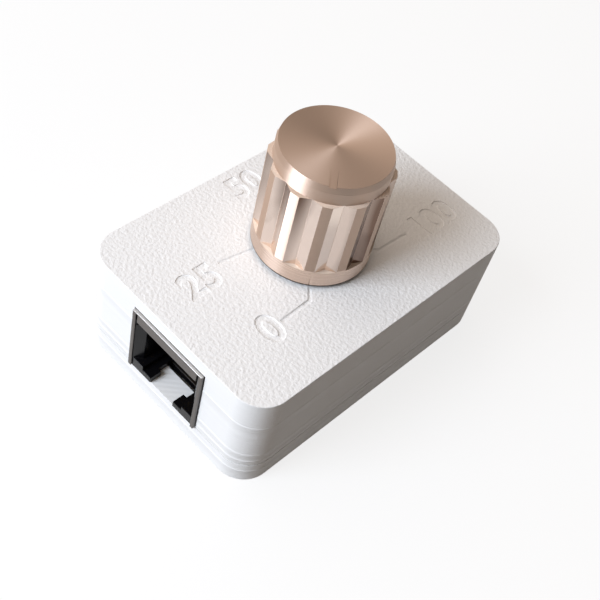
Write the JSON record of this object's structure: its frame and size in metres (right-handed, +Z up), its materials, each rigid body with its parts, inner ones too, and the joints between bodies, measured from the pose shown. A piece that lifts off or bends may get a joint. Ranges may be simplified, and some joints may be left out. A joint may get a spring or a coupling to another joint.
{
  "type": "LED dimmer",
  "caption": "Free-standing LED dimmer: a small rounded white box with a fluted aluminium knob on top and a shielded modular jack in one short end.",
  "frame": {"origin": "middle of the box's flat underside, below the knob's axis", "axes": "+X along the box's long side, away from the jack; +Z up along the knob's axis"},
  "size_m": [0.0605, 0.04, 0.0424],
  "materials": {
    "printed_white": "printed PLA, pebbled top, layer lines on the sides",
    "champagne_aluminium": "turned, bright anodised champagne",
    "tinned_steel": "tin plate, satin",
    "zinc_steel": "zinc plate",
    "black_nylon": "moulded, semi-gloss",
    "gold_contact": "gold plate",
    "board_laminate": "black solder mask",
    "nickel_brass": "nickel plate",
    "turned_aluminium": "turned",
    "spring_steel": "oiled",
    "phenolic": "pressed laminate",
    "carbon_ink": "screen-printed carbon",
    "white_acetal": "moulded",
    "spring_bronze": "rolled",
    "red_pvc": "extruded",
    "white_pvc": "extruded",
    "black_pvc": "extruded"
  },
  "bodies": {
    "housing": {"housing_shell": "printed_white", "base_cover": "printed_white", "cover_screws": "zinc_steel", "circuit_board": "board_laminate", "board_screws": "zinc_steel", "jack_shield": "tinned_steel", "jack_insert": "black_nylon", "jack_contact_block": "black_nylon", "jack_contacts": "gold_contact", "pot_bushing": "nickel_brass", "pot_case": "tinned_steel", "pot_washer": "zinc_steel", "pot_nut": "nickel_brass", "pot_wafer": "phenolic", "pot_track": "carbon_ink", "pot_terminals": "tinned_steel", "lead_wire_high": "red_pvc", "lead_wire_wiper": "white_pvc", "lead_wire_low": "black_pvc"},
    "knob": {"knob_body": "champagne_aluminium", "knob_insert": "black_nylon", "pot_shaft": "turned_aluminium", "shaft_clip": "spring_steel", "pot_rotor": "white_acetal", "pot_wiper": "spring_bronze"}
  },
  "joints": [
    {"name": "knob_turn", "type": "hinge", "parent": "housing", "child": "knob", "pos_m": [0, 0, 0.021], "axis": [0, 0, -1], "range_deg": [-10, 270]}
  ]
}
